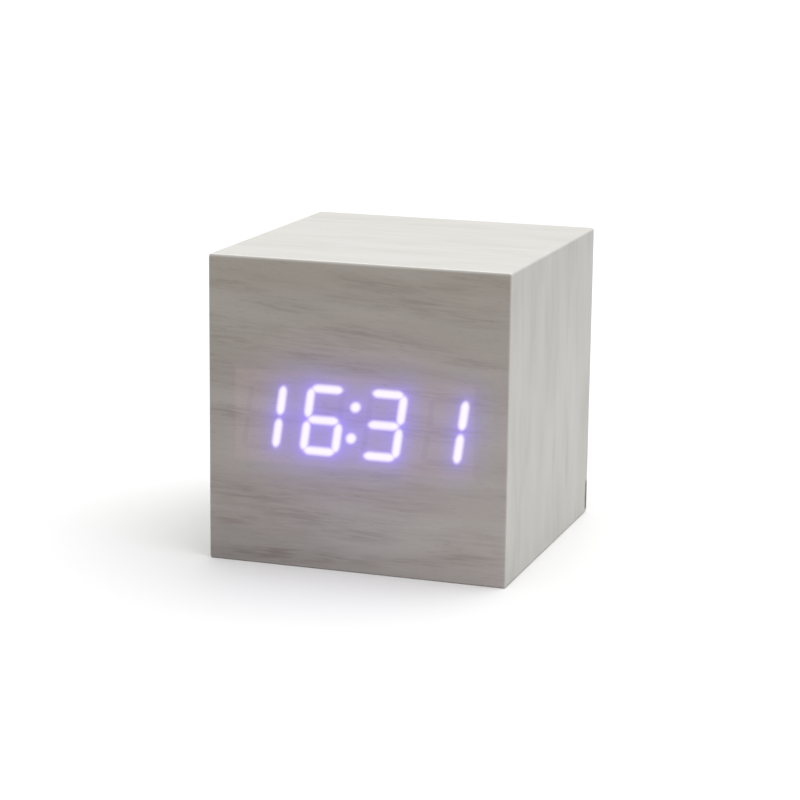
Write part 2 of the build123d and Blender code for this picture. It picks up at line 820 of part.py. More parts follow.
# Contacts: end plates and links, each with a leaf spring where it meets a cell's flat end
leaf_half_span = leaf_span_share * cell_diameter / 2
with BuildPart() as battery_contacts:
    for index in range(cell_count + 1):
        side = 1 if index % 2 else -1
        wall_x = side * bay_length / 2
        plate_x = wall_x - side * contact_thickness
        lower_z = cell_heights[max(index - 1, 0)] - leaf_half_span - contact_margin
        upper_z = cell_heights[min(index, cell_count - 1)] + leaf_half_span + contact_margin
        with BuildSketch(at_depth(cell_y + contact_width / 2)):
            with Locations(((wall_x + plate_x) / 2, (lower_z + upper_z) / 2)):
                Rectangle(contact_thickness, upper_z - lower_z)
            if index < cell_count:
                leaf_z = cell_heights[index]
                crown_x = plate_x - side * leaf_bow
                inner_half_span = leaf_half_span - contact_thickness
                with BuildLine():
                    ThreePointArc(
                        (plate_x, leaf_z - leaf_half_span),
                        (crown_x, leaf_z),
                        (plate_x, leaf_z + leaf_half_span),
                    )
                    Line((plate_x, leaf_z + leaf_half_span), (plate_x, leaf_z + inner_half_span))
                    ThreePointArc(
                        (plate_x, leaf_z + inner_half_span),
                        (crown_x + side * contact_thickness, leaf_z),
                        (plate_x, leaf_z - inner_half_span),
                    )
                    Line((plate_x, leaf_z - inner_half_span), (plate_x, leaf_z - leaf_half_span))
                make_face()
        extrude(amount=contact_width)
    with BuildSketch(at_depth(cell_y)):
        with Locations(*solder_tab_places):
            Rectangle(contact_thickness, solder_tab_width)
    extrude(amount=cell_y - solder_tab_y)


# A lead from a solder tab to its pad on the main board, in one plane
def battery_lead(tab_place):
    side = 1 if tab_place[0] > 0 else -1
    tab_end = Vector(tab_place[0], solder_tab_y, tab_place[1])
    climb = Vector(side * lead_pad_x - tab_place[0], 0, lead_pad_z - tab_place[1])
    forward = Vector(0, -1, 0)
    lead_plane = Plane(origin=tab_end, x_dir=forward, z_dir=forward.cross(climb))
    with BuildPart() as lead:
        with BuildLine(lead_plane) as lead_path:
            FilletPolyline(
                (0, 0),
                (lead_stub_length, 0),
                (lead_stub_length, climb.length),
                (solder_tab_y - main_board_y, climb.length),
                radius=min(lead_bend, bend_share * climb.length),
            )
        with BuildSketch(Plane(origin=tab_end, x_dir=lead_plane.y_dir, z_dir=forward)):
            RegularPolygon(lead_diameter / 2, side_count=lead_side_count)
        sweep(path=lead_path.wires()[0])
    return lead


negative_lead = battery_lead(solder_tab_places[0])
positive_lead = battery_lead(solder_tab_places[1])

# Main board, on the cover's bosses
with BuildPart() as main_board:
    with BuildSketch(at_depth(main_board_rear_y)):
        with Locations((0, main_board_middle_z)):
            Rectangle(main_board_width, main_board_top_z - main_board_bottom_z)
        with Locations(*boss_places):
            Circle(small_screw_diameter / 2 + screw_play, mode=Mode.SUBTRACT)
    extrude(amount=circuit_board_thickness)

board_screws = screw_set(
    boss_places,
    main_board_y,
    -1,
    circuit_board_thickness + small_screw_bite,
    small_screw_diameter,
    small_head_diameter,
    small_head_height,
)
clock_chip = flat_chip((clock_chip_x, clock_chip_z), main_board_y, 1, clock_chip_length)

with BuildPart() as crystal:
    with BuildSketch(across_at(crystal_start_x)):
        with Locations((main_board_y - crystal_diameter / 2, crystal_z)):
            Circle(crystal_diameter / 2)
    extrude(amount=crystal_length)

with BuildPart() as buzzer:
    with BuildSketch(at_depth(main_board_y)):
        with Locations((buzzer_x, main_board_middle_z)):
            Circle(buzzer_diameter / 2)
    extrude(amount=buzzer_height)
    with BuildSketch(at_depth(main_board_y - buzzer_height)):
        with Locations((buzzer_x, main_board_middle_z)):
            Circle(buzzer_hole_share * buzzer_diameter / 2)
    extrude(amount=-buzzer_height / 2, mode=Mode.SUBTRACT)

with BuildPart() as microphone:
    with BuildSketch(at_depth(main_board_rear_y)):
        with Locations(microphone_place):
            Circle(microphone_diameter / 2)
    extrude(amount=-microphone_height)

with BuildPart() as temperature_sensor:
    with BuildSketch(at_depth(main_board_rear_y)):
        with Locations(sensor_place):
            Circle(sensor_diameter / 2)
    extrude(amount=main_board_rear_y - cover_front_y + sensor_gap)

# Bodies of the three push switches, each with the bore that its plunger slides in
with BuildPart() as push_switches:
    with BuildSketch(at_depth(main_board_rear_y)):
        with Locations(*button_places.values()):
            Rectangle(push_switch_side, push_switch_side)
    extrude(amount=-push_switch_height)
    with BuildSketch(at_depth(push_switch_y)):
        with Locations(*button_places.values()):
            Circle(plunger_diameter / 2 + plunger_play)
    extrude(amount=plunger_root + press_travel + plunger_end_gap, mode=Mode.SUBTRACT)


def plunger(place):
    with BuildPart() as stem:
        with BuildSketch(at_depth(cap_inner_y)):
            with Locations(place):
                Circle(plunger_diameter / 2)
        extrude(amount=plunger_rise + plunger_root)
    return stem


# A button with the flange that keeps it behind the cover
def button(place):
    with BuildPart() as cap:
        with BuildSketch(at_depth(cap_inner_y)):
            with Locations(place):
                Circle(cap_diameter / 2)
        extrude(amount=cap_inner_y - cover_rear_y - cap_rise)
        chamfer(cap.edges().sort_by(Axis.Y)[-1], length=cap_bevel)
        with BuildSketch(at_depth(cap_inner_y)):
            with Locations(place):
                Circle(cap_diameter / 2 + cap_gap + flange_overlap)
        extrude(amount=-flange_thickness)
    return cap


set_plunger, up_plunger, down_plunger = [plunger(button_places[name]) for name in ("set", "up", "down")]
set_button, up_button, down_button = [button(button_places[name]) for name in ("set", "up", "down")]

# Sound switch: a body with a trough, and the knob that slides along it
with BuildPart() as sound_switch_body:
    with BuildSketch(at_depth(main_board_rear_y)):
        with Locations(sound_switch_place):
            Rectangle(sound_switch_length, sound_switch_width)
    extrude(amount=-sound_switch_height)
    with BuildSketch(at_depth(main_board_rear_y + sound_switch_height)):
        with Locations(sound_switch_place):
            Rectangle(knob_length + knob_travel + 2 * knob_gap, knob_width + 2 * knob_gap)
    extrude(amount=knob_root + knob_gap, mode=Mode.SUBTRACT)

with BuildPart() as sound_switch_knob:
    knob_foot_y = main_board_rear_y + sound_switch_height - knob_root
    knob_tip_y = cover_rear_y + knob_rise
    with BuildSketch(at_depth(knob_foot_y)):
        with Locations(knob_place):
            Rectangle(knob_length, knob_width)
    extrude(amount=knob_foot_y - knob_tip_y)
    with BuildSketch(at_depth(knob_tip_y)):
        with Locations(knob_place):
            with GridLocations(2 * knob_groove_share * knob_length, 0, 2, 1):
                Rectangle(knob_groove_share * knob_length, knob_width)
    extrude(amount=knob_rise / 2, mode=Mode.SUBTRACT)

# Power socket: a metal shell with sloped lower corners, open to the rear, and the tongue inside it
socket_mouth_y = cover_rear_y - socket_mouth_recess
socket_corner = socket_corner_share * socket_height
with BuildPart() as power_socket:
    with BuildSketch(at_depth(main_board_rear_y)) as shell_outline:
        with Locations(socket_place):
            Rectangle(socket_width, socket_height)
        chamfer(shell_outline.vertices().group_by(Axis.Y)[0], length=socket_corner)
    extrude(amount=main_board_rear_y - socket_mouth_y)
    with BuildSketch(at_depth(socket_mouth_y)) as bore_outline:
        with Locations(socket_place):
            Rectangle(socket_width - 2 * socket_wall, socket_height - 2 * socket_wall)
        chamfer(bore_outline.vertices().group_by(Axis.Y)[0], length=socket_corner)
    extrude(amount=socket_mouth_y - main_board_rear_y - socket_back, mode=Mode.SUBTRACT)

with BuildPart() as power_socket_tongue:
    with BuildSketch(at_depth(main_board_rear_y + socket_back)):
        with Locations(socket_place):
            Rectangle(tongue_width, tongue_height)
    extrude(amount=-tongue_length)

pieces = {
    "case_veneer": case_veneer,
    "front_veneer": front_veneer,
    "top_board": top_board,
    "right_board": right_board,
    "bottom_board": bottom_board,
    "left_board": left_board,
    "front_board": front_board,
    "glue_blocks": glue_blocks,
    "display_housing": display_housing,
    "lit_segments": lit_segments,
    "unlit_segments": unlit_segments,
    "colon_dots": colon_dots,
    "led_chips": led_chips,
    "module_base": module_base,
    "display_pins": display_pins,
    "display_board": display_board,
    "display_spacers": display_spacers,
    "display_screws": display_screws,
    "driver_chip": driver_chip,
    "display_header": display_header,
    "ribbon_cable": ribbon_cable,
    "main_header": main_header,
    "rear_cover": rear_cover,
    "cover_screws": cover_screws,
    "battery_door": battery_door,
    "battery_cells": battery_cells,
    "battery_contacts": battery_contacts,
    "negative_lead": negative_lead,
    "positive_lead": positive_lead,
    "main_board": main_board,
    "board_screws": board_screws,
    "clock_chip": clock_chip,
    "crystal": crystal,
    "buzzer": buzzer,
    "microphone": microphone,
    "temperature_sensor": temperature_sensor,
    "push_switches": push_switches,
    "set_plunger": set_plunger,
    "up_plunger": up_plunger,
    "down_plunger": down_plunger,
    "set_button": set_button,
    "up_button": up_button,
    "down_button": down_button,
    "sound_switch_body": sound_switch_body,
    "sound_switch_knob": sound_switch_knob,
    "power_socket": power_socket,
    "power_socket_tongue": power_socket_tongue,
}

os.makedirs("parts", exist_ok=True)
for label, piece in pieces.items():
    piece.part.label = label
    export_step(piece.part, f"parts/{label}.step")
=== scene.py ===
import math
import bpy
from mathutils import Matrix, Vector


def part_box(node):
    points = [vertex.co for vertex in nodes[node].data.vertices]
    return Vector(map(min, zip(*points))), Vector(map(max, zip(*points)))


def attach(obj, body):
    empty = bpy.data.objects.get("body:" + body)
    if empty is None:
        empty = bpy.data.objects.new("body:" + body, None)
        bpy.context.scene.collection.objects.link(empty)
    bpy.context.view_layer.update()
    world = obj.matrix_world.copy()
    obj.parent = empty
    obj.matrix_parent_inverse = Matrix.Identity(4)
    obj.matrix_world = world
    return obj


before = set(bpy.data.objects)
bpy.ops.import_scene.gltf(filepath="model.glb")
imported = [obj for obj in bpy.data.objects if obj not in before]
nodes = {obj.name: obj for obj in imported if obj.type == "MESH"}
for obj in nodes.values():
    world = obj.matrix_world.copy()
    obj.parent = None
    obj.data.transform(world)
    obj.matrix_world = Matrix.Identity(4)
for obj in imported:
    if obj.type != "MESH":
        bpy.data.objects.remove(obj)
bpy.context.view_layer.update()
scene = bpy.context.scene
millimetre = 0.001


# Shader and geometry sums

class Wire:                                 # a socket of a node tree, ready to be used in sums
    def __init__(self, tree, socket=None):
        self.tree = tree
        self.socket = socket

    def node(self, kind, settings=None, sockets=None, out=0):
        made = self.tree.nodes.new(kind)
        for name, value in (settings or {}).items():
            setattr(made, name, value)
        for name, value in (sockets or {}).items():
            if isinstance(value, Wire):
                self.tree.links.new(value.socket, made.inputs[name])
            else:
                made.inputs[name].default_value = value
        return Wire(self.tree, made.outputs[out] if len(made.outputs) else None)

    def maths(self, operation, *values):
        return self.node("ShaderNodeMath", {"operation": operation}, dict(enumerate(values)))

    def __neg__(self):
        return self.maths("MULTIPLY", self, -1.0)

    def __abs__(self):
        return self.maths("ABSOLUTE", self)

    def least(self, other):
        return self.maths("MINIMUM", self, other)

    def most(self, other):
        return self.maths("MAXIMUM", self, other)

    def over(self, level):                  # 1 above the level, 0 below it
        return self.maths("GREATER_THAN", self, level)

    def fade(self, start, end):             # 0 at start, 1 at end, smooth between
        settings = {"interpolation_type": "SMOOTHSTEP"}
        return self.node("ShaderNodeMapRange", settings, {0: self, 1: start, 2: end, 3: 0.0, 4: 1.0})

    def other(self, out):                   # another output of the same node
        return Wire(self.tree, self.socket.node.outputs[out])


def operatorFor(operation, turned):
    def work(self, other):
        return self.maths(operation, other, self) if turned else self.maths(operation, self, other)
    return work


for word, operation in {"add": "ADD", "sub": "SUBTRACT", "mul": "MULTIPLY", "truediv": "DIVIDE"}.items():
    setattr(Wire, f"__{word}__", operatorFor(operation, turned=False))
    setattr(Wire, f"__r{word}__", operatorFor(operation, turned=True))


def paint(code):                            # linear colour of a hex code, by the sRGB curve
    shares = [int(code[start:start + 2], 16) / 255 for start in (0, 2, 4)]
    linear = [share / 12.92 if share <= 0.04045 else ((share + 0.055) / 1.055) ** 2.4 for share in shares]
    return (*linear, 1.0)


def mixed(amount, first, second):           # a colour between two
    return amount.node("ShaderNodeMix", {"data_type": "RGBA"}, {0: amount, 6: first, 7: second}, out=2)


def tinted(amount, colour):                 # a colour times a value
    return amount.node("ShaderNodeVectorMath", {"operation": "SCALE"}, {0: colour, "Scale": amount})


def added(first, second):                   # two colours together
    return first.node("ShaderNodeVectorMath", {"operation": "ADD"}, {0: first, 1: second})


def startMaterial(name):
    material = bpy.data.materials.new(name)
    material.use_nodes = True
    material.node_tree.nodes.clear()
    place = Wire(material.node_tree).node("ShaderNodeTexCoord", out=3)
    return material, place


def inMillimetres(place):
    large = place.node("ShaderNodeVectorMath", {"operation": "SCALE"}, {0: place, "Scale": 1 / millimetre})
    parts = place.node("ShaderNodeSeparateXYZ", sockets={0: large})
    return parts, parts.other(1), parts.other(2)


def lengthOf(u, v):
    pair = u.node("ShaderNodeCombineXYZ", sockets={0: u, 1: v})
    return u.node("ShaderNodeVectorMath", {"operation": "LENGTH"}, {0: pair}, out=1)


def mottle(place, size, detail=3.0, roughness=0.55):      # even noise, size in millimetres
    sockets = {"Vector": place, "Scale": 1 / (size * millimetre), "Detail": detail, "Roughness": roughness}
    return place.node("ShaderNodeTexNoise", sockets=sockets)


def streaks(along, across, length, width, seed, detail=2.0):      # noise drawn along the grain
    spot = along.node("ShaderNodeCombineXYZ", sockets={0: along / length, 1: across / width, 2: seed})
    return along.node("ShaderNodeTexNoise", sockets={"Vector": spot, "Scale": 1.0, "Detail": detail})


def bumped(height, strength, depth):        # depth in millimetres
    sockets = {"Strength": strength, "Distance": depth * millimetre, "Height": height}
    return height.node("ShaderNodeBump", sockets=sockets)


def finishMaterial(place, sockets):
    shader = place.node("ShaderNodeBsdfPrincipled", sockets=sockets)
    place.node("ShaderNodeOutputMaterial", sockets={"Surface": shader})


caseLow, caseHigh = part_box("case_veneer")
half = (caseHigh.x - caseLow.x) / 2 / millimetre        # half the cube's side, mm
middle = (caseHigh.z + caseLow.z) / 2 / millimetre      # height of its middle, mm


# Pale film: whitewashed wood grain, printed and pressed

filmLook = {                                # lengths run along the grain and widths across it, in mm
    # the front's colours are darker and warmer than the wrap's: partly the film's own tone, partly painted
    # shade of the front face
    "front": {
        "pale": paint("bab4ad"), "band": paint("a9a19a"), "streak": paint("77645b"), "pore": paint("8f837b"),
        "bandLength": 44.0, "bandWidth": 6.0, "bandAmount": 0.45,
        "patchLength": 26.0, "patchWidth": 4.2, "patchAmount": 0.38,
        "streakLength": 7.5, "streakWidth": 0.62, "streakAmount": 0.56,
        "fibreLength": 6.0, "fibreWidth": 0.24, "fibreAmount": 0.22,
        "poreLength": 1.6, "poreWidth": 0.2, "poreAmount": 0.28,
        "sway": 1.8, "slope": 0.03, "turn": 0.05,    # the grain leans down at the top and up at the foot
        # dark figure, in shares of half the face: place along and up, half length, half width, strength
        "figureShares": [
            (-0.84, 0.80, 0.28, 0.05, 0.48), (-0.46, 0.69, 0.36, 0.06, 0.48), (0.14, 0.88, 0.38, 0.06, 0.45),
            (0.46, 0.76, 0.32, 0.09, 0.52), (0.77, 0.69, 0.32, 0.06, 0.42), (0.00, 0.56, 0.42, 0.07, 0.52),
            (0.40, 0.51, 0.36, 0.05, 0.40), (0.72, 0.44, 0.42, 0.05, 0.48), (-0.85, 0.46, 0.24, 0.06, 0.55),
            (-0.36, 0.40, 0.42, 0.05, 0.45), (0.02, 0.33, 0.28, 0.05, 0.40), (0.56, 0.18, 0.26, 0.04, 0.40),
            (-0.84, -0.01, 0.28, 0.05, 0.65), (0.52, -0.05, 0.30, 0.07, 0.45),
            (-0.69, -0.54, 0.42, 0.08, 0.65), (-0.34, -0.66, 0.40, 0.07, 0.70),
            (-0.86, -0.72, 0.28, 0.06, 0.70), (0.02, -0.74, 0.32, 0.06, 0.65),
            (0.26, -0.54, 0.38, 0.06, 0.45), (0.74, -0.83, 0.32, 0.06, 0.65),
            (0.40, -0.88, 0.30, 0.05, 0.55), (-0.44, -0.93, 0.75, 0.06, 0.85),
        ],
    },
    "wrap": {
        "pale": paint("c9c8c3"), "band": paint("bdbbb5"), "streak": paint("aca7a1"), "pore": paint("b0aca6"),
        "bandLength": 40.0, "bandWidth": 7.0, "bandAmount": 0.5,
        "patchLength": 22.0, "patchWidth": 5.0, "patchAmount": 0.9,
        "streakLength": 16.0, "streakWidth": 1.9, "streakAmount": 0.24,
        "fibreLength": 8.0, "fibreWidth": 0.3, "fibreAmount": 0.12,
        "poreLength": 2.6, "poreWidth": 0.2, "poreAmount": 0.1,
        "sway": 0.8, "slope": 0.0, "turn": 0.0,
        "figureShares": [],
    },
    "swayLength": 34.0, "swayWidth": 11.0,
    # seeds of the noises, and the levels between which each one shows
    "seeds": {"sway": 1.7, "band": 4.1, "patch": 8.3, "streak": 11.9, "fibre": 17.2, "pore": 23.5},
    "shows": {
        "band": (0.32, 0.68), "patch": (0.42, 0.66), "figure": (1.25, 0.25),
        "streak": (0.37, 0.63), "fibre": (0.3, 0.75), "pore": (0.6, 0.76),
    },
    "between": 0.3,                                  # how dark a patch is between its streaks
    "fibreRise": 0.6, "streakSink": 0.4, "poreSink": 0.5,
    "rubbed": paint("e2dfda"), "edge": 0.45,         # edges paler: rubbed wear and painted highlight
    "roughness": 0.46, "streakRough": 0.12, "handledRough": 0.12, "handledSize": 14.0,
    "bump": 0.3, "bumpDepth": 0.03, "ior": 1.47,
}


def filmGrain(along, across, face):         # colour, height of the fibres, and where the dark streaks are
    look, seeds, shows = filmLook[face], filmLook["seeds"], filmLook["shows"]
    wander = streaks(along, across, filmLook["swayLength"], filmLook["swayWidth"], seeds["sway"], detail=1.0)
    lean = look["slope"] + across / half * look["turn"]
    bent = across + (wander - 0.5) * look["sway"] + along * lean
    band = streaks(along, bent, look["bandLength"], look["bandWidth"], seeds["band"]).fade(*shows["band"])
    patch = streaks(along, bent, look["patchLength"], look["patchWidth"], seeds["patch"])
    patch = patch.fade(*shows["patch"]) * look["patchAmount"]
    for alongShare, acrossShare, lengthShare, widthShare, strength in look["figureShares"]:
        bentShare = acrossShare + alongShare * (look["slope"] + acrossShare * look["turn"])
        away = lengthOf((along / half - alongShare) / lengthShare, (bent / half - bentShare) / widthShare)
        patch = patch.most(away.fade(*shows["figure"]) * strength)
    streak = streaks(along, bent, look["streakLength"], look["streakWidth"], seeds["streak"])
    fibre = streaks(along, bent, look["fibreLength"], look["fibreWidth"], seeds["fibre"], detail=3.0)
    pore = streaks(along, bent, look["poreLength"], look["poreWidth"], seeds["pore"], detail=1.0)
    pore = pore.fade(*shows["pore"])
    between = filmLook["between"]
    dark = (between + streak.fade(*shows["streak"]) * (1 - between)) * patch
    colour = mixed(band * look["bandAmount"], look["pale"], look["band"])
    colour = mixed(fibre.fade(*shows["fibre"]) * look["fibreAmount"], colour, look["band"])
    colour = mixed(pore * look["poreAmount"], colour, look["pore"])
    colour = mixed(dark * look["streakAmount"], colour, look["streak"])
    height = fibre * filmLook["fibreRise"] - dark * filmLook["streakSink"] - pore * filmLook["poreSink"]
    return colour, height, dark


def filmSurface(place, colour, height, dark, extra):
    handled = (mottle(place, filmLook["handledSize"]) - 0.5) * filmLook["handledRough"]
    sockets = {
        "Base Color": colour,
        "Roughness": filmLook["roughness"] + dark * filmLook["streakRough"] + handled,
        "Normal": bumped(height, filmLook["bump"], filmLook["bumpDepth"]),
        "IOR": filmLook["ior"],
    }
    finishMaterial(place, {**sockets, **extra})


# The strip round the four long sides: grain runs along the strip, so up the sides and across the top

wrapLook = {
    "start": 61.0,                                   # where the strip was cut from the sheet, mm
    "sideLift": 0.003, "sideTilt": 0.026, "sideFall": 0.04,      # painted shade: the sides are palest below half height
    "topFall": 0.015,                                # and the top at its front, darker towards its rear
    "paintedSheen": paint("c4c2bd"), "topSheen": 0.35,        # a painted sheen that hides some of the top's grain
    "edgePale": 0.3, "edgeLeast": 0.35, "rubSize": 3.0, "rubShows": (0.3, 0.7),      # edges painted paler as a highlight, with rubbed wear, more in patches
    "chip": paint("554942"),                         # bare board at the rear right foot, mm
    "chipFrom": 0.8, "chipTo": 7.2, "chipEnds": (-0.3, 0.5), "chipDepth": 1.7, "chipSoft": 0.5,
    "raggedSize": 1.6, "raggedDepth": 1.6,
}


def paleWrap():
    material, place = startMaterial("paleWrap")
    x, y, z = inMillimetres(place)
    up = z - middle
    onSide = (abs(x) - abs(up)).over(0.0)
    rightward = x.over(0.0) * 2 - 1                  # 1 on the right, -1 on the left
    below = (-up).over(0.0)
    flatRun = x + below * (4 * half - 2 * x)
    sideRun = rightward * (2 * half - up)
    run = flatRun + onSide * (sideRun - flatRun)     # distance along the strip from the top's middle
    colour, height, dark = filmGrain(run, y + wrapLook["start"], "wrap")
    # painted sheen: the top's colour is veiled paler
    colour = mixed((1 - onSide) * wrapLook["topSheen"], colour, wrapLook["paintedSheen"])
    upShare = up / half
    # painted shade: the sides darken upwards and the top darkens towards its rear
    sidePaintedShade = wrapLook["sideLift"] - upShare * (wrapLook["sideTilt"] + upShare * wrapLook["sideFall"])
    topPaintedShade = (-1 - y / half) * wrapLook["topFall"]
    colour = tinted(1 + topPaintedShade + onSide * (sidePaintedShade - topPaintedShade), colour)
    # painted highlight along the edges, with rubbed wear in patches
    nearEdge = half - abs(x).least(abs(up))
    frontEdge = y + half
    patchy = mottle(place, wrapLook["rubSize"]).fade(*wrapLook["rubShows"])
    patchy = wrapLook["edgeLeast"] + (1 - wrapLook["edgeLeast"]) * patchy
    rubbed = nearEdge.least(frontEdge).fade(filmLook["edge"], 0.0) * patchy
    colour = mixed(rubbed * wrapLook["edgePale"], colour, filmLook["rubbed"])
    ragged = (mottle(place, wrapLook["raggedSize"]) - 0.5) * wrapLook["raggedDepth"]
    rearGap = half - y + ragged
    nearRear = rearGap.fade(wrapLook["chipDepth"], wrapLook["chipDepth"] - wrapLook["chipSoft"])
    aboveFoot = (z - wrapLook["chipFrom"] + ragged).fade(*wrapLook["chipEnds"])
    belowEnd = (wrapLook["chipTo"] - z + ragged).fade(*wrapLook["chipEnds"])
    chipped = nearRear * aboveFoot * belowEnd
    colour = mixed(chipped * onSide * x.over(0.0), colour, wrapLook["chip"])
    filmSurface(place, colour, height, dark, {})
    return material


# The front: the same film with grain from side to side, and the digits shining through it

frontTone = {
    "level": 0.995, "down": 0.09, "aside": 0.05,     # painted shade: the film is darker towards the top and palest at the lower right
    "foot": 0.07, "footAside": 0.115, "footFrom": -0.62,         # and painted shade darkens its foot towards the left
    "warmer": 0.043,                                 # towards the top
    "topEdge": 0.75, "topPale": 1.0, "rightEdge": 0.5, "rightPale": 0.6,      # painted highlights along the top and right edges, mm
}

housingLow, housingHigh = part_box("display_housing")
display = {
    "shown": "1631",
    "centreX": (housingLow.x + housingHigh.x) / 2 / millimetre,
    "centreZ": (housingLow.z + housingHigh.z) / 2 / millimetre,
    "width": (housingHigh.x - housingLow.x) / millimetre,
    "height": (housingHigh.z - housingLow.z) / millimetre,
    "pitch": 12.7, "columns": 6.75, "rows": 6.4,     # spacings of digits and of segment lines, mm
    "stroke": 1.6, "flatGap": 0.05, "uprightGap": 0.13, "slant": 8.0,      # strokes spread in the film
    "taper": 0.85, "seam": 0.6,                      # of their pointed ends, and how dim the joints are
    "aside": 0.11,                                   # of the lit digits from the module's centre
    "dot": 2.0, "softness": 0.52,                    # mm, across the colon's dots and over each edge
    "core": (0.80, 0.76, 0.90), "coreLevel": 0.85,
    "rim": (0.28, 0.07, 0.94), "rimLevel": 0.2, "rimReach": 0.4,
    "glow": (0.002, 0.0, 0.26), "glowReach": 2.05, "crowding": 0.1,
    "digitGlow": (1.0, 1.0, 1.0, 1.2),               # the last digit is brightest
    "haze": (0.004, 0.0008, 0.005), "hazeReach": 9.0,
    "spill": (0.011, 0.012, 0.024), "spillShares": (0.0, -0.6, 0.8, 0.65),   # faint light below the digits
    "window": (0.028, 0.014, 0.015), "windowSoft": 0.4,
    "windowPale": paint("cbbdbb"), "windowAmount": 0.1,
    "unlit": paint("6d625f"), "unlitDark": 0.1, "unlitShows": (0.1, -0.5),
    "streakVeil": 0.3,                               # light that a dark streak of the film holds back
}
segmentShares = {                                    # uprights stand a little apart at the middle
    "a": (0, 1), "b": (0.5, 0.526), "c": (0.5, -0.526), "d": (0, -1),
    "e": (-0.5, -0.526), "f": (-0.5, 0.526), "g": (0, 0),
}
flatSegments = "adg"
litSegments = {"1": "bc", "3": "abcdg", "6": "acdefg"}


def strokeAxes(u, v, digitAt, letter):               # place along a segment, across it, and its half length
    columnShare, rowShare = segmentShares[letter]
    sideways = u - (digitAt + columnShare * display["columns"])
    upward = v - rowShare * display["rows"]
    if letter in flatSegments:
        return abs(sideways), upward, display["columns"] / 2 - display["flatGap"]
    return abs(upward), sideways, display["rows"] / 2 - display["uprightGap"]


def strokeGap(along, across, reach):                 # distance from a segment's edge
    halfStroke = display["stroke"] / 2
    return lengthOf((along - (reach - halfStroke)).most(0.0), across) - halfStroke


def strokeLight(along, across, reach):               # 1 inside a bar with pointed ends, soft at its edges
    soft = display["softness"]
    light = (abs(across) - display["stroke"] / 2).fade(soft, -soft)
    taper = display["taper"]
    for side in (-1, 1):
        beyond = (along + across * (side * taper) - reach) / math.hypot(1.0, taper)
        light = light * beyond.fade(soft, -soft)
    return light


def decay(gap, reach):                               # falls from 1 at a stroke's edge
    return gap.maths("EXPONENT", gap.most(0.0) / -reach)


def nearest(gaps):
    closest = gaps[0]
    for gap in gaps[1:]:
        closest = closest.least(gap)
    return closest


def brightest(lights):
    most = lights[0]
    for light in lights[1:]:
        most = most.most(light)
    return most


def together(lights):
    return sum(lights[1:], lights[0])


def digitFields(u, v):                               # gaps to what is lit, its light and halo, other gaps
    lit, light, halo, unlit = [], [], [], []
    count = len(display["shown"])
    for index, figure in enumerate(display["shown"]):
        digitAt = (index - (count - 1) / 2) * display["pitch"]
        for letter in segmentShares:
            axes = strokeAxes(u, v, digitAt, letter)
            gap = strokeGap(*axes)
            if letter in litSegments[figure]:
                lit.append(gap)
                light.append(strokeLight(*axes))
                halo.append(decay(gap, display["glowReach"]) * display["digitGlow"][index])
            else:
                unlit.append(gap)
    for side in (-1, 1):
        gap = lengthOf(u, v - side * display["rows"] / 2) - display["dot"] / 2
        lit.append(gap)
        light.append(gap.fade(display["softness"], -display["softness"]))
        halo.append(decay(gap, display["glowReach"]))
    full = together(light).least(1.0)
    core = full + (brightest(light) - full) * display["seam"]
    return lit, core, together(halo), unlit


def paleFront():
    material, place = startMaterial("paleFront")
    x, _, z = inMillimetres(place)
    colour, height, dark = filmGrain(x, z - middle, "front")
    xShare, zShare = x / half, (z - middle) / half
    # painted shade over the face: darker towards the top and, at the foot, towards the left
    paintedShade = frontTone["level"] - zShare * frontTone["down"] + xShare * (1 - zShare) * frontTone["aside"]
    foot = zShare.fade(frontTone["footFrom"], -1.0)
    paintedShade = paintedShade + foot * (xShare * frontTone["footAside"] - frontTone["foot"])
    blueTone = paintedShade * (1 - zShare * frontTone["warmer"])
    tint = place.node("ShaderNodeCombineXYZ", sockets={0: paintedShade, 1: paintedShade, 2: blueTone})
    colour = place.node("ShaderNodeVectorMath", {"operation": "MULTIPLY"}, {0: colour, 1: tint})
    v = z - display["centreZ"]
    u = x - display["centreX"] - display["aside"] - v * math.tan(math.radians(display["slant"]))
    lit, core, halo, unlit = digitFields(u, v)
    glow = halo / (1 + halo * display["crowding"])
    haze = together([decay(gap, display["hazeReach"]) for gap in lit])
    spillX, spillZ, spillLength, spillHeight = display["spillShares"]
    spill = lengthOf((xShare - spillX) / spillLength, (zShare - spillZ) / spillHeight).fade(1.0, 0.0)
    aside = abs(x - display["centreX"]) - display["width"] / 2
    above = abs(v) - display["height"] / 2
    window = aside.most(above).fade(display["windowSoft"], -display["windowSoft"])
    colour = mixed(window * display["windowAmount"], colour, display["windowPale"])
    faint = nearest(unlit).fade(*display["unlitShows"]) * display["unlitDark"]
    colour = mixed(faint, colour, display["unlit"])
    # painted highlight along the top and right edges, where a rounded edge would catch the light
    topHighlight = (half - (z - middle)).fade(frontTone["topEdge"], 0.0) * frontTone["topPale"]
    rightHighlight = (half - x).fade(frontTone["rightEdge"], 0.0) * frontTone["rightPale"]
    colour = mixed(topHighlight.most(rightHighlight), colour, filmLook["rubbed"])
    veil = (1 - core) * (1 - dark * display["streakVeil"])
    rim = decay(nearest(lit), display["rimReach"]) * display["rimLevel"] * veil
    light = tinted(core * display["coreLevel"], display["core"])
    light = added(light, tinted(rim, display["rim"]))
    light = added(light, tinted(glow * veil, display["glow"]))
    light = added(light, tinted(haze * veil, display["haze"]))
    light = added(light, tinted(spill, display["spill"]))
    light = added(light, tinted(window * veil, display["window"]))
    filmSurface(place, colour, height, dark, {"Emission Color": light, "Emission Strength": 1.0})
    return material


# Raw board and pine, sizes in mm

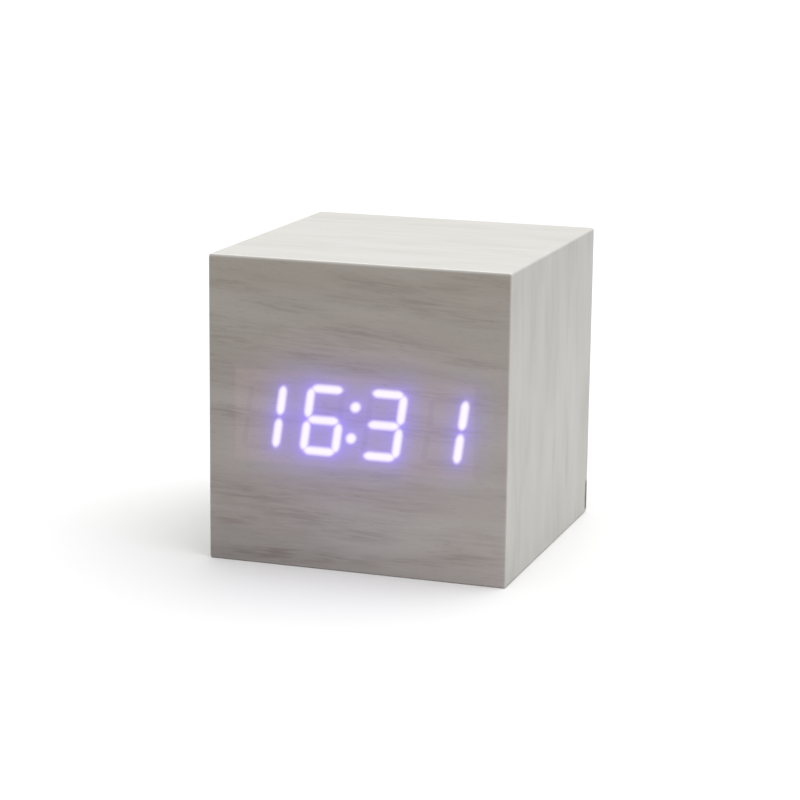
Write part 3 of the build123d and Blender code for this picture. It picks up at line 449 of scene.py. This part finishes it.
boardLook = {
    "fibre": paint("93714d"), "dark": paint("68492e"), "pale": paint("b89a72"),
    "fibreSize": 0.45, "fibreShows": (0.38, 0.66), "fibreRough": 0.2,
    "clumpSize": 2.6, "clumpShows": (0.5, 0.8), "clumpAmount": 0.5,
    "seam": paint("3f2a1a"), "seamWidth": 0.14, "seamAmount": 0.75,      # glue line of the mitred corners
    "roughness": 0.82, "bump": 0.6, "bumpDepth": 0.08,
}


def bareFibreboard():
    material, place = startMaterial("bareFibreboard")
    x, _, z = inMillimetres(place)
    fibre = mottle(place, boardLook["fibreSize"], detail=4.0, roughness=0.7)
    clump = mottle(place, boardLook["clumpSize"]).fade(*boardLook["clumpShows"])
    colour = mixed(fibre.fade(*boardLook["fibreShows"]), boardLook["fibre"], boardLook["dark"])
    colour = mixed(clump * boardLook["clumpAmount"], colour, boardLook["pale"])
    seam = abs(abs(x) - abs(z - middle)).fade(boardLook["seamWidth"], 0.0)
    colour = mixed(seam * boardLook["seamAmount"], colour, boardLook["seam"])
    sockets = {
        "Base Color": colour,
        "Roughness": boardLook["roughness"] + (fibre - 0.5) * boardLook["fibreRough"],
        "Normal": bumped(fibre - seam, boardLook["bump"], boardLook["bumpDepth"]),
    }
    finishMaterial(place, sockets)
    return material


pineLook = {                                         # a size is the length along the grain, then the width
    "early": paint("d9b98a"), "late": paint("b58650"),
    "ringSize": (26.0, 1.6), "ringLean": 0.3, "ringSeed": 3.3, "ringShows": (0.42, 0.62),
    "fibreSize": (6.0, 0.2), "fibreSeed": 5.1, "fibreRough": 0.15,
    "roughness": 0.65, "bump": 0.3, "bumpDepth": 0.04,
}


def pineBlock():
    material, place = startMaterial("pineBlock")
    x, y, z = inMillimetres(place)
    across = x + z * pineLook["ringLean"]
    ring = streaks(y, across, *pineLook["ringSize"], pineLook["ringSeed"], detail=3.0)
    fibre = streaks(y, x + z, *pineLook["fibreSize"], pineLook["fibreSeed"])
    colour = mixed(ring.fade(*pineLook["ringShows"]), pineLook["early"], pineLook["late"])
    sockets = {
        "Base Color": colour,
        "Roughness": pineLook["roughness"] + fibre * pineLook["fibreRough"],
        "Normal": bumped(fibre, pineLook["bump"], pineLook["bumpDepth"]),
    }
    finishMaterial(place, sockets)
    return material


# Moulded plastics: a spark-textured skin, faint flow marks and a little rubbing

plasticLooks = {
    "moulding": {"colour": "18181a", "light": "3b3b3e", "roughness": 0.5, "texture": 0.42, "bump": 0.9},
    "buttonGrey": {"colour": "505153", "light": "6b6c6e", "roughness": 0.42, "texture": 0.22, "bump": 0.4},
    "whiteHousing": {"colour": "e6e4de", "light": "f0efe9", "roughness": 0.5, "texture": 0.4, "bump": 0.2},
    "chipEpoxy": {"colour": "17181a", "light": "242527", "roughness": 0.6, "texture": 0.15, "bump": 0.3},
    "ribbonGrey": {"colour": "8d9094", "light": "9a9da1", "roughness": 0.5, "texture": 0.5, "bump": 0.2},
    "leadBlack": {"colour": "141414", "light": "1f1f1f", "roughness": 0.45, "texture": 0.5, "bump": 0.15},
    "leadRed": {"colour": "8f1713", "light": "a4251f", "roughness": 0.45, "texture": 0.5, "bump": 0.15},
    "markPale": {"colour": "c9c9c6", "light": "d6d6d2", "roughness": 0.55, "texture": 0.2, "bump": 0.2},
}
plasticSkin = {                                      # what they share, sizes in mm
    "cloudSize": 9.0, "cloudShows": (0.3, 0.75), "cloudAmount": 0.3,
    # the texture's grains are painted paler: a painted glint on their tips
    "gritShows": (0.45, 0.7), "gritAmount": 0.6, "gritRough": 0.25, "gritDepth": 0.05,
    "handledSize": 3.2, "handledShows": (0.52, 0.75), "handledGloss": 0.08,
    "ior": 1.5,
}


def mouldedPlastic(name):
    look = plasticLooks[name]
    material, place = startMaterial(name)
    grit = mottle(place, look["texture"], detail=2.0)
    cloud = mottle(place, plasticSkin["cloudSize"]).fade(*plasticSkin["cloudShows"])
    handled = mottle(place, plasticSkin["handledSize"], detail=4.0, roughness=0.7)
    gloss = handled.fade(*plasticSkin["handledShows"]) * plasticSkin["handledGloss"]
    colour = mixed(cloud * plasticSkin["cloudAmount"], paint(look["colour"]), paint(look["light"]))
    # painted glint: the texture's grains mixed towards the paler colour
    gritGlint = grit.fade(*plasticSkin["gritShows"]) * plasticSkin["gritAmount"]
    colour = mixed(gritGlint, colour, paint(look["light"]))
    sockets = {
        "Base Color": colour,
        "Roughness": look["roughness"] + (grit - 0.5) * plasticSkin["gritRough"] - gloss,
        "Normal": bumped(grit, look["bump"], plasticSkin["gritDepth"]),
        "IOR": plasticSkin["ior"],
    }
    finishMaterial(place, sockets)
    return material


# Resin in the light wells, and the chips under it

resinLooks = {
    "litResin": {"colour": "f4f0ff", "light": (0.85, 0.75, 1.0, 1.0), "strength": 1.0},
    "unlitResin": {"colour": "c9c7c9", "light": (0.0, 0.0, 0.0, 1.0), "strength": 0.0},
    "phosphor": {"colour": "d8cf6a", "light": (0.0, 0.0, 0.0, 1.0), "strength": 0.0},
}
resinBody = {                                        # what they share, sizes in mm
    "cloud": paint("ffffff"), "cloudSize": 1.2, "cloudAmount": 0.25,
    "hazeSize": 0.4, "hazeRough": 0.3, "roughness": 0.25,
}


def clearResin(name):
    look = resinLooks[name]
    material, place = startMaterial(name)
    cloud = mottle(place, resinBody["cloudSize"]) * resinBody["cloudAmount"]
    haze = mottle(place, resinBody["hazeSize"])
    sockets = {
        "Base Color": mixed(cloud, paint(look["colour"]), resinBody["cloud"]),
        "Roughness": resinBody["roughness"] + haze * resinBody["hazeRough"],
        "Emission Color": look["light"],
        "Emission Strength": look["strength"],
    }
    finishMaterial(place, sockets)
    return material


# Circuit boards: green mask over copper runs

maskLook = {
    "green": paint("1d5a35"), "run": paint("2c7a49"), "runAmount": 0.8,
    "runSize": (9.0, 1.4), "runSeed": 2.2, "runShows": (0.52, 0.55),     # length and width, mm
    "weaveSize": 0.5, "weaveRise": 0.2, "weaveRough": 0.15,
    "roughness": 0.3, "bump": 0.3, "bumpDepth": 0.03,
}


def maskedBoard():
    material, place = startMaterial("maskedBoard")
    x, _, z = inMillimetres(place)
    weave = mottle(place, maskLook["weaveSize"])
    runs = streaks(x, z, *maskLook["runSize"], maskLook["runSeed"], detail=0.0)
    runs = runs.fade(*maskLook["runShows"])
    height = runs + weave * maskLook["weaveRise"]
    sockets = {
        "Base Color": mixed(runs * maskLook["runAmount"], maskLook["green"], maskLook["run"]),
        "Roughness": maskLook["roughness"] + weave * maskLook["weaveRough"],
        "Normal": bumped(height, maskLook["bump"], maskLook["bumpDepth"]),
    }
    finishMaterial(place, sockets)
    return material


# Bare metals

metalLooks = {
    "screwSteel": {"colour": "8f9093", "stain": "6c6c6e", "roughness": 0.32, "grain": 0.18},
    "tinnedPin": {"colour": "c8c8c4", "stain": "a9a9a4", "roughness": 0.28, "grain": 0.3},
    "nickel": {"colour": "c9c4ba", "stain": "a59f93", "roughness": 0.25, "grain": 0.22},
    "socketShell": {"colour": "b9bbbe", "stain": "95979a", "roughness": 0.27, "grain": 0.2},
}
metalSkin = {                                        # what they share, sizes in mm
    "cloudSize": 2.4, "stainShows": (0.4, 0.75), "stainAmount": 0.7,
    "dullShows": (0.5, 0.8), "dullRough": 0.12, "scuffRough": 0.25,
    "bump": 0.12, "bumpDepth": 0.01,
}


def bareMetal(name):
    look = metalLooks[name]
    material, place = startMaterial(name)
    scuff = mottle(place, look["grain"], detail=3.0, roughness=0.65)
    cloud = mottle(place, metalSkin["cloudSize"])
    stain = cloud.fade(*metalSkin["stainShows"]) * metalSkin["stainAmount"]
    dull = cloud.fade(*metalSkin["dullShows"]) * metalSkin["dullRough"]
    sockets = {
        "Base Color": mixed(stain, paint(look["colour"]), paint(look["stain"])),
        "Metallic": 1.0,
        "Roughness": look["roughness"] + (scuff - 0.5) * metalSkin["scuffRough"] + dull,
        "Normal": bumped(scuff, metalSkin["bump"], metalSkin["bumpDepth"]),
    }
    finishMaterial(place, sockets)
    return material


# Printed sleeve of a cell: a paler band at its plus end, and rubbed print

sleeveLook = {
    "body": paint("2d4f6e"), "plus": paint("b9bcbf"), "line": paint("16283a"), "rubbed": paint("7f93a5"),
    "bandFrom": 0.42, "lineWidth": 0.02,             # along the cell, from -1 at the minus end to 1
    "lineCore": 0.7,                                 # share of the line that is full ink
    "scuffSize": 2.2, "scuffShows": (0.58, 0.74), "scuffAmount": 0.3, "scuffRough": 0.2,
    "metallic": 0.25, "plusMetallic": 0.45, "roughness": 0.28, "bump": 0.1, "bumpDepth": 0.02,
}


def printedSleeve():
    material, place = startMaterial("printedSleeve")
    along = place.node("ShaderNodeAttribute", {"attribute_name": "alongCell"}, out=2)
    scuff = mottle(place, sleeveLook["scuffSize"], detail=5.0, roughness=0.7)
    plus = along.over(sleeveLook["bandFrom"])
    width = sleeveLook["lineWidth"]
    line = abs(along - sleeveLook["bandFrom"]).fade(width, width * sleeveLook["lineCore"])
    colour = mixed(plus, sleeveLook["body"], sleeveLook["plus"])
    colour = mixed(line, colour, sleeveLook["line"])
    scuffed = scuff.fade(*sleeveLook["scuffShows"]) * sleeveLook["scuffAmount"]
    colour = mixed(scuffed, colour, sleeveLook["rubbed"])
    sockets = {
        "Base Color": colour,
        "Metallic": sleeveLook["metallic"] + plus * sleeveLook["plusMetallic"],
        "Roughness": sleeveLook["roughness"] + scuff * sleeveLook["scuffRough"],
        "Normal": bumped(scuff, sleeveLook["bump"], sleeveLook["bumpDepth"]),
    }
    finishMaterial(place, sockets)
    return material


finishes = {
    "paleWrap": paleWrap(), "paleFront": paleFront(), "bareFibreboard": bareFibreboard(),
    "pineBlock": pineBlock(), "maskedBoard": maskedBoard(), "printedSleeve": printedSleeve(),
    **{name: mouldedPlastic(name) for name in plasticLooks},
    **{name: clearResin(name) for name in resinLooks},
    **{name: bareMetal(name) for name in metalLooks},
}
print("finishes made:", len(finishes))

# Which finish each node of the frame wears

worn = {
    "paleWrap": "case_veneer",
    "paleFront": "front_veneer",
    "bareFibreboard": "top_board right_board bottom_board left_board front_board",
    "pineBlock": "glue_blocks",
    "whiteHousing": "display_housing display_header main_header",
    "litResin": "lit_segments colon_dots",
    "unlitResin": "unlit_segments",
    "phosphor": "led_chips",
    "maskedBoard": "display_board main_board module_base",
    "tinnedPin": "display_pins crystal",
    "screwSteel": "display_screws cover_screws board_screws",
    "ribbonGrey": "ribbon_cable",
    "chipEpoxy": "driver_chip clock_chip buzzer temperature_sensor push_switches sound_switch_body "
                 "display_spacers power_socket_tongue",
    "nickel": "battery_cells battery_contacts microphone",
    "socketShell": "power_socket",
    "moulding": "rear_cover battery_door",
    "buttonGrey": "set_button up_button down_button set_plunger up_plunger down_plunger sound_switch_knob",
    "leadBlack": "negative_lead",
    "leadRed": "positive_lead",
}
for finish, names in worn.items():
    for name in names.split():
        nodes[name].data.materials.clear()
        nodes[name].data.materials.append(finishes[finish])
undressed = set(nodes) - {name for names in worn.values() for name in names.split()}
print("nodes dressed, left over:", sorted(undressed))


# Pieces grown with Geometry Nodes

def startTree(name, sizes):                          # a tree whose sizes are named inputs
    tree = bpy.data.node_groups.new(name, "GeometryNodeTree")
    for label, kind in {**sizes, "Material": "Material"}.items():
        tree.interface.new_socket(label, in_out="INPUT", socket_type="NodeSocket" + kind)
    tree.interface.new_socket("Geometry", in_out="OUTPUT", socket_type="NodeSocketGeometry")
    given = tree.nodes.new("NodeGroupInput")
    return tree, {label: Wire(tree, given.outputs[label]) for label in (*sizes, "Material")}


def endTree(shape, material):
    whole = shape.node("GeometryNodeRealizeInstances", sockets={"Geometry": shape})
    dressed = shape.node("GeometryNodeSetMaterial", sockets={"Geometry": whole, "Material": material})
    shape.node("NodeGroupOutput", sockets={"Geometry": dressed})


def vector(x, y, z):                                 # sockets or numbers as one vector socket
    start = next(part for part in (x, y, z) if isinstance(part, Wire))
    return start.node("ShaderNodeCombineXYZ", sockets={0: x, 1: y, 2: z})


def moved(shape, **sockets):
    return shape.node("GeometryNodeTransform", sockets={"Geometry": shape, **sockets})


def growPiece(name, tree, values, finish, body):
    piece = bpy.data.objects.new(name, bpy.data.meshes.new(name + "Start"))
    scene.collection.objects.link(piece)
    modifier = piece.modifiers.new(name, "NODES")
    modifier.node_group = tree
    identifiers = {item.name: item.identifier for item in tree.interface.items_tree if item.in_out == "INPUT"}
    for label, value in {**values, "Material": finishes[finish]}.items():
        modifier[identifiers[label]] = value
    evaluated = piece.evaluated_get(bpy.context.evaluated_depsgraph_get())
    mesh = bpy.data.meshes.new_from_object(evaluated)
    piece.modifiers.remove(modifier)
    piece.data = mesh
    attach(piece, body)
    print(name, "grown:", len(mesh.polygons), "faces")


# Sleeves of the cells: one on each, turned end for end like the cells

cellsLow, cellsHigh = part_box("battery_cells")
sleeves = {
    "count": 3, "length": 44.5, "nub": 1.0,          # as in the CAD, mm
    "bareEnd": 0.7, "film": 0.04, "around": 64,
}


def cellSleeves():
    sizes = {
        "Count": "Int", "Pitch": "Float", "Radius": "Float",
        "Length": "Float", "Shift": "Float", "Start": "Vector",
    }
    tree, given = startTree("cellSleeves", sizes)
    start = given["Count"]
    line = start.node("GeometryNodeMeshLine", {"mode": "OFFSET"}, {
        "Count": given["Count"], "Start Location": given["Start"], "Offset": vector(0.0, 0.0, given["Pitch"]),
    })
    tube = start.node("GeometryNodeMeshCylinder", sockets={
        "Vertices": sleeves["around"], "Radius": given["Radius"], "Depth": given["Length"],
    })
    side = tube.other("Side")
    smooth = start.node("GeometryNodeSetShadeSmooth", sockets={"Geometry": tube, "Selection": side})
    position = start.node("GeometryNodeInputPosition")
    height = start.node("ShaderNodeSeparateXYZ", sockets={0: position}).other(2)
    marked = start.node("GeometryNodeStoreNamedAttribute", {"data_type": "FLOAT", "domain": "POINT"}, {
        "Geometry": smooth, "Name": "alongCell", "Value": height / (given["Length"] / 2),
    })
    shifted = moved(marked, Translation=vector(0.0, 0.0, given["Shift"]))
    turned = start.maths("MODULO", start.node("GeometryNodeInputIndex"), 2.0)       # every second one
    quarter = math.radians(90)
    rows = start.node("GeometryNodeInstanceOnPoints", sockets={
        "Points": line, "Instance": shifted, "Rotation": vector(0.0, quarter - turned * (2 * quarter), 0.0),
    })
    endTree(rows, given["Material"])
    diameter = cellsHigh.y - cellsLow.y
    can = (sleeves["length"] - sleeves["nub"]) * millimetre
    radius = diameter / 2
    values = {
        "Count": sleeves["count"],
        "Pitch": (cellsHigh.z - cellsLow.z - diameter) / (sleeves["count"] - 1),
        "Radius": radius + sleeves["film"] * millimetre,
        "Length": can - 2 * sleeves["bareEnd"] * millimetre,
        "Shift": cellsHigh.x - sleeves["nub"] * millimetre - can / 2,
        "Start": (0.0, (cellsLow.y + cellsHigh.y) / 2, cellsLow.z + radius),
    }
    growPiece("cellSleeves", tree, values, "printedSleeve", "case")


# Raised marks: a triangle up, a triangle down and a dot on the buttons, and an arrow on the door

marks = {
    "height": 0.12, "taper": 0.82,                   # mm, and the top's share of the foot
    "buttonShare": 0.2,                              # of a cap's flange
    "buttons": {                                     # turns in degrees
        "set": {"sides": 32, "turn": -90, "size": 0.7},
        "up": {"sides": 3, "turn": -90, "size": 1.0},
        "down": {"sides": 3, "turn": 90, "size": 1.0},
    },
    "arrow": {"sides": 3, "turn": 90, "radius": 1.9, "drop": 8.6},   # mm, the drop from the door's upper edge
}


def markTree():
    sizes = {
        "Sides": "Int", "Radius": "Float", "Top Radius": "Float",
        "Height": "Float", "Turn": "Float", "Place": "Vector",
    }
    tree, given = startTree("raisedMark", sizes)
    start = given["Sides"]
    prism = start.node("GeometryNodeMeshCone", sockets={
        "Vertices": given["Sides"], "Radius Top": given["Top Radius"], "Radius Bottom": given["Radius"],
        "Depth": given["Height"],
    })
    spun = moved(prism, Rotation=vector(0.0, 0.0, given["Turn"]))
    facing = moved(spun, Rotation=(math.radians(-90), 0.0, 0.0))     # its top looks to the rear
    endTree(moved(facing, Translation=given["Place"]), given["Material"])
    return tree


def raisedMarks():
    tree = markTree()
    for key, mark in marks["buttons"].items():
        low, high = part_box(key + "_button")
        radius = marks["buttonShare"] * mark["size"] * (high.x - low.x)
        place = ((low.x + high.x) / 2, high.y, (low.z + high.z) / 2)
        addMark(tree, key + "Mark", mark, radius, place, "markPale", key + "_key")
    arrow = marks["arrow"]
    low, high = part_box("battery_door")
    place = ((low.x + high.x) / 2, high.y, high.z - arrow["drop"] * millimetre)
    radius = arrow["radius"] * millimetre
    addMark(tree, "doorArrow", arrow, radius, place, "moulding", "door")


def addMark(tree, name, mark, radius, place, finish, body):
    values = {
        "Sides": mark["sides"], "Radius": radius, "Top Radius": radius * marks["taper"],
        "Height": marks["height"] * millimetre, "Turn": math.radians(mark["turn"]), "Place": place,
    }
    growPiece(name, tree, values, finish, body)


cellSleeves()
raisedMarks()

# Floor and light

stageLook = {
    "floorSize": 12.0,                               # m
    "floorSeen": 0.86, "floorBounce": 0.60,          # paler to the eye than in what it throws back
    "skyFill": 0.40,
    "sun": 2.88, "sunSoftness": 80.0, "sunFrom": (0.22, 0.15, 0.94),     # strength, degrees, direction
}


def seenDirectly(start):                             # 1 for what the eye, a gloss or a clear body sees
    path = start.node("ShaderNodeLightPath")
    sockets = {socket.name: path.other(index) for index, socket in enumerate(path.socket.node.outputs)}
    return sockets["Is Camera Ray"].most(sockets["Is Glossy Ray"]).most(sockets["Is Transmission Ray"])


def floorPlane():
    size = stageLook["floorSize"] / 2
    mesh = bpy.data.meshes.new("floor")
    corners = [(-size, -size, 0), (size, -size, 0), (size, size, 0), (-size, size, 0)]
    mesh.from_pydata(corners, [], [(0, 1, 2, 3)])
    material, place = startMaterial("paleFloor")
    seen = seenDirectly(place)
    level = stageLook["floorBounce"] + seen * (stageLook["floorSeen"] - stageLook["floorBounce"])
    grey = place.node("ShaderNodeCombineColor", sockets={0: level, 1: level, 2: level})
    shader = place.node("ShaderNodeBsdfDiffuse", sockets={"Color": grey})
    place.node("ShaderNodeOutputMaterial", sockets={"Surface": shader})
    mesh.materials.append(material)
    floor = bpy.data.objects.new("floor", mesh)
    scene.collection.objects.link(floor)


def skyAndSun():
    world = bpy.data.worlds.new("studio")
    scene.world = world
    world.use_nodes = True
    world.node_tree.nodes.clear()
    start = Wire(world.node_tree)
    strength = stageLook["skyFill"] + seenDirectly(start) * (1 - stageLook["skyFill"])
    sky = start.node("ShaderNodeBackground", sockets={"Color": (1, 1, 1, 1), "Strength": strength})
    start.node("ShaderNodeOutputWorld", sockets={"Surface": sky})
    lamp = bpy.data.lights.new("softSun", "SUN")
    lamp.energy = stageLook["sun"]
    lamp.angle = math.radians(stageLook["sunSoftness"])
    sun = bpy.data.objects.new("softSun", lamp)
    sun.rotation_euler = Vector(stageLook["sunFrom"]).to_track_quat("Z", "Y").to_euler()
    scene.collection.objects.link(sun)


floorPlane()
skyAndSun()
print("floor and light set")

# Camera, fitted to the cube's seven visible corners

cameraLook = {
    "place": (162.99, -490.25, 143.59),              # mm
    "azimuth": 18.54, "elevation": 12.50, "roll": -0.648,
    "focal": 2519.4, "image": 800,                   # pixels
    "sensor": 36.0,                                  # mm
    "clipStart": 0.01, "clipEnd": 50.0,              # m
}


def addCamera():
    azimuth, elevation, roll = [math.radians(cameraLook[key]) for key in ("azimuth", "elevation", "roll")]
    ahead = Vector((
        -math.sin(azimuth) * math.cos(elevation),
        math.cos(azimuth) * math.cos(elevation),
        -math.sin(elevation),
    ))
    right = Vector((math.cos(azimuth), math.sin(azimuth), 0))
    down = ahead.cross(right)
    imageRight = math.cos(roll) * right + math.sin(roll) * down
    imageDown = math.cos(roll) * down - math.sin(roll) * right
    lens = bpy.data.cameras.new("camera")
    lens.sensor_width = cameraLook["sensor"]
    lens.lens = cameraLook["focal"] / cameraLook["image"] * cameraLook["sensor"]
    lens.clip_start = cameraLook["clipStart"]
    lens.clip_end = cameraLook["clipEnd"]
    camera = bpy.data.objects.new("camera", lens)
    turn = Matrix((imageRight, -imageDown, -ahead)).transposed()
    camera.matrix_world = Matrix.Translation(Vector(cameraLook["place"]) * millimetre) @ turn.to_4x4()
    scene.collection.objects.link(camera)
    scene.camera = camera


addCamera()
scene.view_settings.view_transform = "Standard"
print("camera set")
